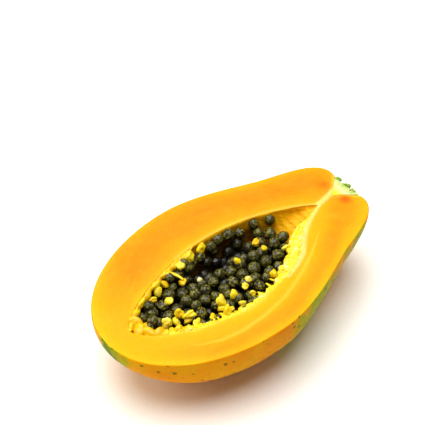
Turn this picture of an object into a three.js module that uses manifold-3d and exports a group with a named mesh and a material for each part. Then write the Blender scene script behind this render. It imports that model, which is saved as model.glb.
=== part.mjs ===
// A papaya cut in half lengthwise, lying on its back with the cut face level and its seeds in the cavity.
// Millimetres, +Z up, +X from the blossom end to the stalk end, origin under the middle of the part, on the
// surface it rests on. The shape is worked out in the fruit's own frame, where x runs from the blossom tip
// along the core, y across the cut face and z is height above the face, and the whole group is moved last.
import * as THREE from "three";
import { mergeVertices } from "three/addons/utils/BufferGeometryUtils.js";
import Module from "manifold-3d";

const wasm = await Module();
wasm.setup();

// ---- driving dimensions ----
const BELLY_X = 70; // widest station, from the blossom tip
const BELLY_HALF_WIDTH = 47.3;
const WAIST_X = 125; // where the belly runs into the neck
const WAIST_HALF_WIDTH = 31;
const SHOULDER_X = 155; // furthest point of the blunt neck end
const SHOULDER_HALF_WIDTH = 13;
const SCAR_X = 153.4; // the stalk scar sits a little inside the shoulders
const DEPTH_RATIO = [0.82, 0.96]; // depth under the face over half-width, at the tip and at the stalk
const SECTION_POWER = 2.2; // 2 is a round section, more is squarer
const LOBE_SHARE = 0.012; // the five soft ribs of the fruit, as a share of its radius
const FLAT_SPOT_DEPTH = 1.1; // how much of the belly the flat resting spot takes off
const CAVITY_DEPTH = 23;
const CAVITY_DETAIL = { stations: 36, steps: 14 };
const WALL_TABLE = { stations: 88, steps: 32 };
const CAVITY_POWER = 2.4;
const CLEARANCE = 0.35; // free gap between touching pieces
const SEED_RADIUS = [2.7, 3.5];
const SEED_SHAPE = [1, 0.9, 0.88]; // half-axes over the largest one
const SEED_PITCH = 6.0; // spacing the seeds start from
const SEED_JITTER = 3.4;
const SEED_NODES = 46; // the top seeds that are solids of their own
const BED_TOP = -12; // top of the joined seeds that fill the cavity's bottom
const JOINED_STRETCH = 2.2; // height over width of a top seed that stands in that bed
const CUT_SHARE = 1.03; // a faceted ball this much larger holds a round one of the same radius
const OVULE_RADIUS = 2.8; // pale seeds that never filled
const OVULE_SHAPE = [1, 0.72, 0.5];
const OVULE_PLACES = [
  [46, 14], [40, 13], [33, 12], [55, 13], [36, -6],
  [41, -10], [30, -5], [40, -17], [59, -14], [58, -20],
];
const PILE_TOP = -1.6; // top of the seed pile under the face
const HOLLOW = { x: 80, y: 10, length: 16, width: 4.6, depth: 10 }; // the gap along the far wall
const LAST_SEED_X = 111; // the cavity is bare from here to the stalk
const SHELF = { from: 84, to: 100, width: 8 }; // a bare ledge on the -Y side widens towards the stalk
const WALL_MARGIN = 0.7; // how near the mouth's edge a seed starts, over its radius
const SMALLEST_SEED = 0.75; // a seed squeezed under this share of the least radius is left out
const STALK_RADIUS = 8.4;
const STALK_ROOT_X = 144.5;
const STALK_ROOT_RADIUS = 0.8;

// ---- small tools ----
const clamp01 = (t) => Math.min(1, Math.max(0, t));
const lerp = (a, b, t) => a + (b - a) * t;

/** A repeatable random number source, 0 to 1. */
function randomSource(seed) {
  let state = seed >>> 0;
  return () => {
    state = (state + 0x6d2b79f5) >>> 0;
    let t = Math.imul(state ^ (state >>> 15), 1 | state);
    t = (t + Math.imul(t ^ (t >>> 7), 61 | t)) ^ t;
    return ((t ^ (t >>> 14)) >>> 0) / 4294967296;
  };
}

/** A closed skin over rings of equal length, each end drawn to one point. */
function loft(start, rings, end) {
  const n = rings[0].length;
  const points = [start, ...rings.flat(), end];
  const last = points.length - 1;
  const index = [];
  for (let k = 0; k < n; k++) {
    const next = (k + 1) % n;
    index.push(0, 1 + k, 1 + next);
    for (let r = 0; r < rings.length - 1; r++) {
      const a = 1 + r * n;
      const b = a + n;
      index.push(a + k, b + k, a + next, a + next, b + k, b + next);
    }
    const tail = 1 + (rings.length - 1) * n;
    index.push(last, tail + next, tail + k);
  }
  const geometry = new THREE.BufferGeometry().setFromPoints(points);
  return geometry.setIndex(index);
}

/** three.js geometry to a manifold-3d solid. */
function solidOf(geometry) {
  const bare = geometry.clone();
  bare.deleteAttribute("normal");
  bare.deleteAttribute("uv");
  const merged = mergeVertices(bare, 1e-4);
  return new wasm.Manifold(
    new wasm.Mesh({
      numProp: 3,
      vertProperties: merged.attributes.position.array,
      triVerts: new Uint32Array(merged.index.array),
    }),
  );
}

/** A manifold-3d solid back to three.js geometry with flat facets. */
function geometryOf(solid) {
  const mesh = solid.getMesh();
  const geometry = new THREE.BufferGeometry();
  geometry.setAttribute("position", new THREE.BufferAttribute(new Float32Array(mesh.vertProperties), 3));
  geometry.setIndex(new THREE.BufferAttribute(new Uint32Array(mesh.triVerts), 1));
  const faceted = geometry.toNonIndexed();
  faceted.computeVertexNormals();
  return faceted;
}

function material(color, roughness) {
  return new THREE.MeshStandardMaterial({ color, roughness, metalness: 0 });
}

function namedMesh(name, geometry, finish) {
  const mesh = new THREE.Mesh(geometry, finish);
  mesh.name = name;
  return mesh;
}

// ---- the fruit's outline ----
/** Half of the cut face: x along the core, y the half-width. */
function outlinePath() {
  const path = new THREE.Path();
  path.moveTo(0, 0);
  path.bezierCurveTo(0, 27, 31, BELLY_HALF_WIDTH, BELLY_X, BELLY_HALF_WIDTH);
  path.bezierCurveTo(92, BELLY_HALF_WIDTH, 110, 36.8, WAIST_X, WAIST_HALF_WIDTH);
  path.bezierCurveTo(138, 26.2, SHOULDER_X - 2, 23, SHOULDER_X, SHOULDER_HALF_WIDTH);
  path.bezierCurveTo(SHOULDER_X + 0.5, 9, SCAR_X, 8, SCAR_X, 0);
  return path;
}

/** The two sides of the cavity's mouth. It lies nearer the -Y side of the face. */
const CAVITY_START = 13.5;
const CAVITY_END = 135;
function cavityPaths() {
  const far = new THREE.Path();
  far.moveTo(CAVITY_START, 0);
  far.bezierCurveTo(CAVITY_START, 7, 44, 20.6, 74, 20.6);
  far.bezierCurveTo(100, 20.6, 124, 9, CAVITY_END, 0);
  const near = new THREE.Path();
  near.moveTo(CAVITY_START, 0);
  near.bezierCurveTo(16, -10, 40, -26.6, 68, -26.6);
  near.bezierCurveTo(86, -26.6, 100, -22.5, 108, -17);
  near.bezierCurveTo(114, -11, 120, -4, CAVITY_END, 0);
  return { far, near };
}

/** y on a side of the cavity's mouth at x, read from a fine table of its path. */
function reader(path) {
  const table = path.getSpacedPoints(160);
  return (x) => {
    const k = table.findIndex((p) => p.x >= x);
    if (k <= 0) return 0;
    const [a, b] = [table[k - 1], table[k]];
    return lerp(a.y, b.y, (x - a.x) / (b.x - a.x || 1));
  };
}
const cavitySides = cavityPaths();
const farSide = reader(cavitySides.far);
const nearSide = reader(cavitySides.near);

// ---- fruit_half ----
/** Half section of the fruit at one station: a lobed half superellipse under a straight chord. */
function fruitSection(x, halfWidth, steps) {
  const depth = halfWidth * lerp(DEPTH_RATIO[0], DEPTH_RATIO[1], clamp01(x / SCAR_X));
  const deepest = BELLY_HALF_WIDTH * lerp(DEPTH_RATIO[0], DEPTH_RATIO[1], BELLY_X / SCAR_X);
  const ring = [];
  for (let k = 0; k <= steps; k++) {
    const angle = (Math.PI * k) / steps;
    const c = Math.cos(angle);
    const s = Math.sin(angle);
    const lobe = 1 + LOBE_SHARE * s * Math.cos(5 * angle);
    const y = Math.sign(c) * Math.abs(c) ** (2 / SECTION_POWER) * halfWidth * lobe;
    const z = -(s ** (2 / SECTION_POWER)) * depth * lobe;
    ring.push(new THREE.Vector3(x, y, Math.max(z, FLAT_SPOT_DEPTH - deepest)));
  }
  return ring;
}

function fruitBody() {
  const stations = outlinePath().getSpacedPoints(48).slice(1, -1);
  const rings = stations.map((p) => fruitSection(p.x, p.y, 26));
  return loft(new THREE.Vector3(0, 0, 0), rings, new THREE.Vector3(SCAR_X, 0, 0));
}

/** Depth of the cavity along its length: a bowl under the belly that runs out as a groove to the stalk. */
function cavityDepth(x) {
  const t = clamp01((x - CAVITY_START) / (CAVITY_END - CAVITY_START));
  return CAVITY_DEPTH * Math.sin(Math.PI * t ** 0.8) ** 0.6;
}

/** The cavity's space, its walls drawn in by inset and its mouth raised to top above the face. */
function cavitySpace(inset, top, { stations, steps } = CAVITY_DETAIL) {
  const rings = [];
  for (let i = 1; i < stations; i++) {
    const t = (1 - Math.cos((Math.PI * i) / stations)) / 2;
    const x = lerp(CAVITY_START + inset, CAVITY_END - inset * 3, t);
    const far = Math.max(farSide(x) - inset, 0.05);
    const near = Math.min(nearSide(x) + inset, -0.05);
    const middle = (far + near) / 2;
    const half = (far - near) / 2;
    const depth = Math.max(cavityDepth(x) - inset, 0.1);
    const ring = [new THREE.Vector3(x, far, top)];
    for (let k = 0; k <= steps; k++) {
      const angle = (Math.PI * k) / steps;
      const c = Math.cos(angle);
      const y = middle + half * Math.sign(c) * Math.abs(c) ** (2 / CAVITY_POWER);
      ring.push(new THREE.Vector3(x, y, -depth * Math.sin(angle) ** (2 / CAVITY_POWER)));
    }
    ring.push(new THREE.Vector3(x, near, top));
    rings.push(ring);
  }
  const start = new THREE.Vector3(CAVITY_START + inset, 0, 0);
  return loft(start, rings, new THREE.Vector3(CAVITY_END - inset * 3, 0, 0));
}

/** A half cone with a flared mouth, the shape of the stalk's root in the flesh. */
function stalkCone(grow, mouthX, top) {
  const count = 6;
  const steps = 12;
  const rootX = STALK_ROOT_X - grow;
  const rings = [];
  for (let i = 1; i <= count; i++) {
    const x = lerp(rootX, mouthX, i / count);
    const t = Math.max(x - STALK_ROOT_X, 0) / (SCAR_X - STALK_ROOT_X);
    const radius = lerp(STALK_ROOT_RADIUS, STALK_RADIUS, t ** 1.4) + grow;
    const ring = [new THREE.Vector3(x, radius, top)];
    for (let k = 0; k <= steps; k++) {
      const angle = (Math.PI * k) / steps;
      ring.push(new THREE.Vector3(x, radius * Math.cos(angle), -radius * Math.sin(angle)));
    }
    ring.push(new THREE.Vector3(x, -radius, top));
    rings.push(ring);
  }
  return loft(new THREE.Vector3(rootX, 0, 0), rings, new THREE.Vector3(mouthX, 0, 0));
}

function fruitHalf() {
  const socket = solidOf(stalkCone(CLEARANCE, SCAR_X + 3, 1));
  return solidOf(fruitBody()).subtract(solidOf(cavitySpace(0, 2))).subtract(socket);
}

// ---- stalk_stub ----
/** The scar's torn rim: small knobs round the mouth of the stalk's root. */
function stalkStub() {
  let stub = solidOf(stalkCone(0, SCAR_X + 0.4, 0.01));
  const random = randomSource(7);
  const knobs = 9;
  for (let k = 0; k < knobs; k++) {
    const angle = (Math.PI * (k + 0.3 + 0.4 * random())) / knobs;
    const size = lerp(1.0, 1.5, random());
    const reach = (STALK_RADIUS - size) * lerp(0.85, 1, random());
    const knob = new THREE.IcosahedronGeometry(size, 1);
    knob.translate(SCAR_X + 0.7, reach * Math.cos(angle), -reach * Math.sin(angle));
    stub = stub.add(solidOf(knob));
  }
  const over = new THREE.BoxGeometry(40, 40, 20).translate(SCAR_X, 0, 10);
  return stub.subtract(solidOf(over));
}

// ---- the seeds ----
/** Height of the seed pile's top: level under the mouth, with a gap along the far wall. */
function pileTop(x, y) {
  const u = (x - HOLLOW.x) / HOLLOW.length;
  const v = (y - HOLLOW.y) / HOLLOW.width;
  return PILE_TOP - HOLLOW.depth * Math.exp(-u * u - v * v);
}

const wallPoints = (() => {
  const at = cavitySpace(0, 2, WALL_TABLE).attributes.position;
  const points = Array.from({ length: at.count }, (_, k) => new THREE.Vector3().fromBufferAttribute(at, k));
  return points.filter((p) => p.z <= 0);
})();

/** Pushes grains off each other and off the cavity's wall, while each keeps near its own height. */
function settle(grains, rounds) {
  const push = new THREE.Vector3();
  for (let round = 0; round < rounds; round++) {
    for (const grain of grains) {
      for (const other of grains) {
        if (other === grain) continue;
        push.subVectors(grain.at, other.at);
        const overlap = grain.radius + other.radius + CLEARANCE - push.length();
        if (overlap > 0) grain.at.addScaledVector(push.normalize(), overlap * 0.5);
      }
      for (const wall of wallPoints) {
        push.subVectors(grain.at, wall);
        const overlap = grain.radius + CLEARANCE - push.length();
        if (overlap > 0) grain.at.addScaledVector(push.normalize(), overlap);
      }
      grain.at.z += (grain.rest - grain.at.z) * 0.1;
    }
  }
}

function insideCavity({ x, y, z }) {
  const middle = (farSide(x) + nearSide(x)) / 2;
  const across = Math.abs(y - middle) / (farSide(x) - middle);
  return across ** CAVITY_POWER + (-z / cavityDepth(x)) ** CAVITY_POWER < 1;
}

/** The largest radius that keeps a grain clear of the others and of the wall. */
function freeRadius(grain, others) {
  let free = grain.radius;
  for (const other of others) {
    if (other === grain) continue;
    free = Math.min(free, grain.at.distanceTo(other.at) - other.radius - CLEARANCE);
  }
  for (const wall of wallPoints) free = Math.min(free, grain.at.distanceTo(wall) - CLEARANCE);
  return free;
}

/** Grains of the top layer, on a jittered grid inside the cavity's mouth. */
function topLayer(random) {
  const grains = [];
  const rowPitch = SEED_PITCH * Math.sin(Math.PI / 3);
  const jitter = () => (random() - 0.5) * SEED_JITTER;
  const rows = Math.ceil(BELLY_HALF_WIDTH / rowPitch);
  for (let row = -rows; row <= rows; row++) {
    const shift = row % 2 ? SEED_PITCH / 2 : 0;
    for (let x = CAVITY_START + shift; x < LAST_SEED_X; x += SEED_PITCH) {
      const radius = lerp(SEED_RADIUS[0], SEED_RADIUS[1], random());
      const px = x + jitter();
      const py = row * rowPitch + jitter();
      const pz = pileTop(px, py) - radius - Math.abs(jitter()) * 2;
      const margin = radius * WALL_MARGIN;
      const shelf = SHELF.width * clamp01((px - SHELF.from) / (SHELF.to - SHELF.from));
      const inside = py < farSide(px) - margin && py > nearSide(px) + margin + shelf;
      const deep = pz - radius < -cavityDepth(px);
      if (inside && !deep) grains.push({ at: new THREE.Vector3(px, py, pz), radius, rest: pz });
    }
  }
  return grains;
}

/** The top of the pile: pale ovules at their places and dark seeds round them, none touching. */
function topGrains() {
  const ovules = OVULE_PLACES.map(([x, y]) => {
    const rest = pileTop(x, y) - OVULE_RADIUS;
    return { at: new THREE.Vector3(x, y, rest), radius: OVULE_RADIUS, rest, pale: true };
  });
  const dark = topLayer(randomSource(41)).filter((grain) =>
    ovules.every((ovule) => ovule.at.distanceTo(grain.at) > OVULE_RADIUS + grain.radius * 0.5),
  );
  const grains = [...ovules, ...dark];
  settle(grains, 60);
  for (const grain of grains) grain.radius = freeRadius(grain, grains);
  return grains.filter((grain) => grain.radius > SEED_RADIUS[0] * SMALLEST_SEED && insideCavity(grain.at));
}

/** A grain's geometry: an egg-shaped body turned its own way, its longest half-axis the radius. */
function grainGeometry(grain, shape, turn) {
  const geometry = new THREE.IcosahedronGeometry(1, 1);
  geometry.scale(...shape.map((share) => share * grain.radius));
  geometry.applyMatrix4(new THREE.Matrix4().makeRotationFromEuler(turn));
  return geometry.translate(grain.at.x, grain.at.y, grain.at.z);
}

function anyTurn(random) {
  return new THREE.Euler(random() * Math.PI, random() * Math.PI, random() * Math.PI);
}

/** The seeds under the top ones: a bed that fills the bottom of the cavity, with the joined seeds standing in it. */
function lowerSeeds(joined, apart) {
  const room = solidOf(cavitySpace(CLEARANCE, 0));
  const above = new THREE.BoxGeometry(2 * SHOULDER_X, 2 * BELLY_HALF_WIDTH, -2 * BED_TOP);
  let body = room.subtract(solidOf(above));
  for (const grain of joined) {
    const standing = grainGeometry(grain, [1, 1, JOINED_STRETCH], new THREE.Euler());
    standing.translate(0, 0, grain.radius * (1 - JOINED_STRETCH));
    body = body.add(solidOf(standing).intersect(room));
  }
  for (const grain of apart) {
    const grown = { at: grain.at, radius: grain.radius * CUT_SHARE + CLEARANCE };
    body = body.subtract(solidOf(grainGeometry(grown, [1, 1, 1], new THREE.Euler())));
  }
  return body;
}

// ---- the whole part ----
const grains = topGrains();
const ovules = grains.filter((grain) => grain.pale);
const dark = grains.filter((grain) => !grain.pale).sort((a, b) => b.at.z + b.radius - a.at.z - a.radius);
const seeds = dark.slice(0, SEED_NODES);
const numbered = (name, k) => `${name}_${String(k + 1).padStart(2, "0")}`;

const flesh = material(0xffa51f, 0.45);
const stalk = material(0xc9d27a, 0.7);
const seedCoat = material(0x26260f, 0.3);
const ovuleFlesh = material(0xf2d23c, 0.5);

const papayaHalf = new THREE.Group();
papayaHalf.add(namedMesh("fruit_half", geometryOf(fruitHalf()), flesh));
papayaHalf.add(namedMesh("stalk_stub", geometryOf(stalkStub()), stalk));
const turns = randomSource(5);
seeds.forEach((seed, k) => {
  papayaHalf.add(namedMesh(numbered("seed", k), grainGeometry(seed, SEED_SHAPE, anyTurn(turns)), seedCoat));
});
ovules.forEach((ovule, k) => {
  const turn = new THREE.Euler((turns() - 0.5) * 0.9, (turns() - 0.5) * 0.9, turns() * Math.PI);
  papayaHalf.add(namedMesh(numbered("pale_ovule", k), grainGeometry(ovule, OVULE_SHAPE, turn), ovuleFlesh));
});
const lower = lowerSeeds(dark.slice(SEED_NODES), [...seeds, ...ovules]);
papayaHalf.add(namedMesh("lower_seeds", geometryOf(lower), seedCoat));

const box = new THREE.Box3().setFromObject(papayaHalf);
const centre = box.getCenter(new THREE.Vector3());
papayaHalf.position.set(-centre.x, -centre.y, -box.min.z);

export default papayaHalf;
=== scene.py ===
# %% [markdown]
# # A papaya half, cut face up
# A ripe papaya is cut lengthwise and one half lies on its back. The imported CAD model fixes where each
# piece is and how big it is. This script gives each piece the shape and finish of the real one: moist
# orange flesh, a waxy skin, wet wrinkled seeds, pale ovules that never filled, and the torn scar of the
# stalk. The first cell loads the frame and keeps its box, because everything below is placed from it.

# %% Load the frame
import math

import bmesh
import bpy
import numpy as np
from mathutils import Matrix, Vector


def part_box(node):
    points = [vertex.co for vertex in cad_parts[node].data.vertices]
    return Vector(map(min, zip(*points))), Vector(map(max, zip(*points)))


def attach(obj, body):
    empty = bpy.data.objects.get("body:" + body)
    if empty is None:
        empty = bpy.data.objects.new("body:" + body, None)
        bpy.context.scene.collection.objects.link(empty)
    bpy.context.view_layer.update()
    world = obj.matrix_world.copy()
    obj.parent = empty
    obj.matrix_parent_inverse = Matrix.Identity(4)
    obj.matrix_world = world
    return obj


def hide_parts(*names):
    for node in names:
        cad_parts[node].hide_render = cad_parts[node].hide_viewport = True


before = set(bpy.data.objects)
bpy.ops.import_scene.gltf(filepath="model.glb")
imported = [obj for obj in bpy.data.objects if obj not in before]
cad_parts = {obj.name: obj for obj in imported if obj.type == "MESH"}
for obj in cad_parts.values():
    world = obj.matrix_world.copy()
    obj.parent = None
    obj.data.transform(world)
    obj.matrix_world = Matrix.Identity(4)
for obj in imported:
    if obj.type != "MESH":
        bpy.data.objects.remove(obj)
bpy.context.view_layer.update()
FRUIT_LOW, FRUIT_HIGH = (np.array(corner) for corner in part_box("fruit_half"))
TIP_X = FRUIT_LOW[0]  # the blossom tip
FACE_Z = FRUIT_HIGH[2]  # the level cut face
MM = 0.001
BODY = "root"
print("cut face at", round(FACE_Z / MM, 1), "mm, tip at", round(TIP_X / MM, 1), "mm")

# %% [markdown]
# ## Two small tools
# Shapes are worked out in the fruit's own millimetres: x runs from the blossom tip to the stalk, y across
# the cut face and z is height above the face. One function takes such points to the frame, and one makes a
# mesh object from grids of points, so that every piece below is only a formula for its points.

# %% Fruit millimetres to the frame, and mesh building
def to_frame(points):
    """Frame metres = fruit millimetres / 1000, moved to the blossom tip and the cut face."""
    return np.asarray(points, float) * MM + np.array([TIP_X, 0.0, FACE_Z])


def mesh_piece(name, points, faces):
    """A smooth mesh object from points in fruit millimetres and a list of faces, riding on the part."""
    mesh = bpy.data.meshes.new(name)
    mesh.from_pydata(to_frame(points).tolist(), [], faces)
    mesh.polygons.foreach_set("use_smooth", np.ones(len(mesh.polygons), bool))
    mesh.update()
    piece = bpy.data.objects.new(name, mesh)
    bpy.context.scene.collection.objects.link(piece)
    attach(piece, BODY)
    return piece


def ring_faces(rings, sides):
    """Quads (a, b, c, d) between neighbouring closed rings of points that are stored ring by ring."""
    ring, side = np.meshgrid(np.arange(rings - 1) * sides, np.arange(sides), indexing="ij")
    after = (side + 1) % sides
    corners = (ring + side, ring + after, ring + sides + after, ring + sides + side)
    return np.stack([corner.ravel() for corner in corners], 1)


print("two rings of 8 points give", len(ring_faces(2, 8)), "faces")

# %% Soft steps and ripples
def smoothstep(low, high, x):
    """0 below low, 1 above high, and 3t^2 - 2t^3 between."""
    t = np.clip((x - low) / (high - low), 0, 1)
    return t * t * (3 - 2 * t)


def ripple(points, wavelength, seed, waves=7):
    """Smooth noise, about -1 to 1: sine waves in random directions, 0.7 sqrt(2/n) sum sin(k.p + a)."""
    random = np.random.default_rng(seed)
    directions = random.normal(size=(waves, points.shape[-1]))
    directions /= np.linalg.norm(directions, axis=1, keepdims=True)
    lengths = wavelength * random.uniform(0.7, 1.4, waves)
    phase = random.uniform(0, 2 * math.pi, waves)
    total = np.zeros(points.shape[:-1])
    for direction, length, shift in zip(directions, lengths, phase):
        total += np.sin(points @ direction * (2 * math.pi / length) + shift)
    return total * math.sqrt(2 / waves) * 0.7


print("half way up a soft step is", smoothstep(0, 1, 0.5))

# %% [markdown]
# ## The camera and the light
# The half is seen from the left of its long side, 48 degrees down, through a long lens, so that parallel
# edges stay parallel. The camera comes first: every later decision about detail is made for what it sees.

# %% Camera
VIEW_BACK = np.array([-0.4475, -0.4980, 0.7428])  # from the fruit to the camera
VIEW_RIGHT = np.array([0.7438, -0.6684, 0.0])
VIEW_UP = np.array([0.4965, 0.5525, 0.6695])
AIM_RIGHT, AIM_UP = -8.95 * MM, 24.65 * MM  # the fruit sits low and a little right in the view
FIELD = 205.0 * MM  # width of the view at the fruit
LENS = 300.0
SENSOR = 36.0
aim = np.array([0.0, 0.0, FACE_Z]) + AIM_RIGHT * VIEW_RIGHT + AIM_UP * VIEW_UP
camera_data = bpy.data.cameras.new("camera")
camera_data.lens = LENS
camera_data.sensor_width = SENSOR
camera_data.clip_start = 0.05
camera_data.clip_end = 20
camera = bpy.data.objects.new("camera", camera_data)
camera.location = aim + VIEW_BACK * (FIELD * LENS / SENSOR)
camera.rotation_mode = "QUATERNION"
camera.rotation_quaternion = Vector((-VIEW_BACK).tolist()).to_track_quat("-Z", "Y")
bpy.context.scene.collection.objects.link(camera)
bpy.context.scene.camera = camera
print("camera", round(FIELD * LENS / SENSOR, 2), "m away")

# %% [markdown]
# A large soft box hangs nearly overhead, a little behind the fruit, so its shadow is short, soft and to
# the front. A smaller warm box on the left gives the near skin its shape and the seeds a second highlight.
# The room adds a weak warm light, as a white studio does when an orange thing lies in it, so the shadows
# stay warm. The floor is a white sweep that the overhead box takes just past white. A small hard lamp
# would give each seed a sharp spot.

# %% The lights
AHEAD = np.array([0.669, 0.743, 0.0])  # away from the camera, level
UPWARD = np.array([0.0, 0.0, 1.0])


def soft_box(name, place, size, power, colour):
    """A round area light at place (metres from the fruit's middle) that faces the fruit."""
    data = bpy.data.lights.new(name, "AREA")
    data.shape = "DISK"
    data.size = size
    data.energy = power
    data.color = colour
    lamp = bpy.data.objects.new(name, data)
    lamp.location = place
    lamp.rotation_mode = "QUATERNION"
    lamp.rotation_quaternion = (-Vector(place)).to_track_quat("-Z", "Y")
    bpy.context.scene.collection.objects.link(lamp)


key_place = -0.10 * VIEW_RIGHT + 0.15 * AHEAD + 1.2 * UPWARD
soft_box("key_box", key_place.tolist(), size=1.5, power=31, colour=(1.0, 0.985, 0.96))
left_place = -1.0 * VIEW_RIGHT + 0.15 * AHEAD + 0.55 * UPWARD
soft_box("left_box", left_place.tolist(), size=0.7, power=6.0, colour=(1.0, 0.9, 0.7))
print("key box", round(float(np.linalg.norm(key_place)), 2), "m from the fruit")

# %% The room and the floor
FLOOR_REACH = 3.0  # metres to each side

world = bpy.data.worlds.new("room")
bpy.context.scene.world = world
world.use_nodes = True
room = world.node_tree.nodes["Background"]
room.inputs["Color"].default_value = (1.0, 0.85, 0.64, 1)
room.inputs["Strength"].default_value = 0.21
bpy.context.scene.view_settings.view_transform = "Standard"

floor_points = np.array([[-1, -1, 0], [1, -1, 0], [1, 1, 0], [-1, 1, 0]]) * FLOOR_REACH
floor_mesh = bpy.data.meshes.new("floor")
floor_mesh.from_pydata(floor_points.tolist(), [], [(0, 1, 2, 3)])
floor = bpy.data.objects.new("floor", floor_mesh)
bpy.context.scene.collection.objects.link(floor)
print("floor", 2 * FLOOR_REACH, "m across")

# %% [markdown]
# ## Shading tools
# Colours are written as sRGB hex, the way a colour chart gives them, and one function makes them linear.
# Another adds a shader node with its settings and links, so each line below is one node. Three habits help
# in reading them: a Mix node of colours takes its share at socket 0 and its two colours at 6 and 7, and
# gives the mixed one as output 2; Math works on sockets 0, 1 and 2; and TexCoord's Object output is the
# place in metres.

# %% Colour and node helpers
def linear(hex_code, alpha=1.0):
    """sRGB hex to linear: c/12.92 below 0.04045, else ((c + 0.055) / 1.055)^2.4."""
    code = np.array([int(hex_code[k : k + 2], 16) for k in (1, 3, 5)]) / 255
    value = np.where(code <= 0.04045, code / 12.92, ((code + 0.055) / 1.055) ** 2.4)
    return (*value.tolist(), alpha)


def add(tree, kind, inputs=None, **settings):
    """Adds a shader node and returns its outputs. inputs maps sockets to numbers, hex colours or outputs."""
    node = tree.nodes.new("ShaderNode" + kind)
    for key, value in settings.items():
        if key == "ramp":
            for extra in range(len(value) - 2):
                node.color_ramp.elements.new(0.5)
            for element, (place, colour) in zip(node.color_ramp.elements, value):
                element.position = place
                element.color = linear(colour)
        else:
            setattr(node, key, value)
    for key, value in (inputs or {}).items():
        if isinstance(value, bpy.types.NodeSocket):
            tree.links.new(value, node.inputs[key])
        else:
            node.inputs[key].default_value = linear(value) if isinstance(value, str) else value
    return node.outputs


def new_material(name):
    """An empty material with its principled shader; returns the material, its tree and that shader."""
    material = bpy.data.materials.new(name)
    material.use_nodes = True
    tree = material.node_tree
    return material, tree, tree.nodes["Principled BSDF"]


print("mid grey #808080 is", round(linear("#808080")[0], 3), "in linear light")

# %% [markdown]
# The floor is the first thing to get a finish, and it is the simplest: one noise pattern, one ramp, one
# roughness. Its white is a little under full, so that the light and not the paper decides where it turns
# pure white.

# %% The floor's paper
# Matt uncoated paper: it takes soft shadows and shows no shine. Its fibre grain barely shows.
paper, tree, shader = new_material("matt_white_paper")
position = add(tree, "TexCoord")["Object"]
grain = add(tree, "TexNoise", {"Vector": position, "Scale": 900.0, "Detail": 3.0})
tone = add(tree, "ValToRGB", {"Fac": grain["Fac"]}, ramp=[(0.3, "#F3F3F2"), (0.7, "#F8F8F7")])
tree.links.new(tone["Color"], shader.inputs["Base Color"])
shader.inputs["Roughness"].default_value = 0.9
floor_mesh.materials.append(paper)
print("paper", len(tree.nodes), "nodes")

# %% [markdown]
# ## The cut fruit
# Skin and flesh grew as one, so they are one closed mesh. It could be a CAD solid with a bevel, but flesh
# needs a fine even grid for its ripples. So each station along the fruit gives one closed loop of points:
# down the skin, back over the rounded rim and the cut face, through the cavity, and over the face again.
# All the loops together are a grid, and its two ends close on themselves.

# %% The outline of the cut face and the cavity's mouth
STALK_X = 153.4
SHOULDER = (155.0, 13.0)
BELLY = (70.0, 47.3)
WAIST = (125.0, 31.0)
MOUTH_START = (13.5, 0.0)
MOUTH_END = (135.0, 0.0)


def bezier_chain(*segments):
    """Points along joined cubics (1-t)^3 a + 3(1-t)^2 t b + 3(1-t) t^2 c + t^3 d."""
    t = np.linspace(0, 1, 300)[:, None]
    curves = []
    for a, b, c, d in np.array(segments, float):
        curves.append((1 - t) ** 3 * a + 3 * (1 - t) ** 2 * t * b + 3 * (1 - t) * t**2 * c + t**3 * d)
    return np.concatenate(curves)


def even_steps(line, count):
    """count points at equal distances along a line of points."""
    length = np.r_[0, np.cumsum(np.linalg.norm(np.diff(line, axis=0), axis=1))]
    at = np.linspace(0, length[-1], count)
    return np.stack([np.interp(at, length, line[:, k]) for k in range(line.shape[1])], 1)


outline = bezier_chain(
    ((0, 0), (0, 27), (31, BELLY[1]), BELLY),
    (BELLY, (92, BELLY[1]), (110, 36.8), WAIST),
    (WAIST, (138, 26.2), (153, 23), SHOULDER),
    (SHOULDER, (155.5, 9), (STALK_X, 8), (STALK_X, 0)),
)
far_mouth = bezier_chain(
    (MOUTH_START, (13.5, 7), (44, 20.6), (74, 20.6)),
    ((74, 20.6), (100, 20.6), (124, 9), MOUTH_END),
)
near_mouth = bezier_chain(
    (MOUTH_START, (16, -10), (40, -26.6), (68, -26.6)),
    ((68, -26.6), (86, -26.6), (100, -22.5), (108, -17)),
    ((108, -17), (114, -11), (120, -4), MOUTH_END),
)
print("mouth", round(float(far_mouth[:, 1].max() - near_mouth[:, 1].min()), 1), "mm wide")

# %% The loops of points
STATIONS = 241
SKIN_STEPS = 112
FILLET_STEPS = 4
FACE_STEPS = 46
CAVITY_STEPS = 56
RIM_RADIUS = 0.45  # a knife leaves the skin's edge this round
DEPTH_SHARE = (0.82, 0.96)  # depth over half-width, at the tip and at the stalk
SECTION_POWER = 2.2
CAVITY_POWER = 2.4
CAVITY_DEPTH = 23.0
GROOVE_SHARE = 0.4
LOBES = 0.012


def cavity_depth(x):
    """23 sin(pi t^0.8)^0.6 along the mouth, down to 0.4 of that where it ends as a groove to the stalk."""
    t = np.clip((x - MOUTH_START[0]) / (MOUTH_END[0] - MOUTH_START[0]), 0, 1)
    groove = GROOVE_SHARE + (1 - GROOVE_SHARE) * smoothstep(1.0, 0.74, t)
    return CAVITY_DEPTH * np.sin(math.pi * t**0.8) ** 0.6 * groove


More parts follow.
